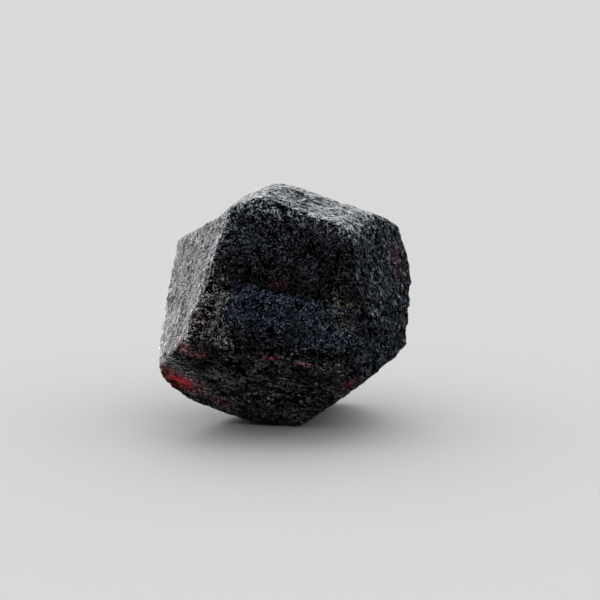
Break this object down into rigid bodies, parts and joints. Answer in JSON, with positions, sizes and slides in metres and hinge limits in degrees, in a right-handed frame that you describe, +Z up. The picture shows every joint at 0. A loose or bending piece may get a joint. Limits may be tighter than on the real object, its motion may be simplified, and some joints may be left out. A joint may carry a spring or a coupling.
{
  "type": "garnet crystal",
  "caption": "Loose dark garnet crystal with flat lozenge faces, a growth step across its front and rounded edges, standing on a flat cut underneath.",
  "frame": {"origin": "on the flat resting face, directly below the centre of mass", "axes": "+Z up, away from the resting face; the broad stepped face looks towards -Y, leaning back 12 degrees; +X to the right of that face"},
  "size_m": [0.0321, 0.0293, 0.0326],
  "materials": {
    "garnet": "satin, finely pitted"
  },
  "bodies": {
    "root": {"garnet_crystal": "garnet"}
  },
  "joints": []
}
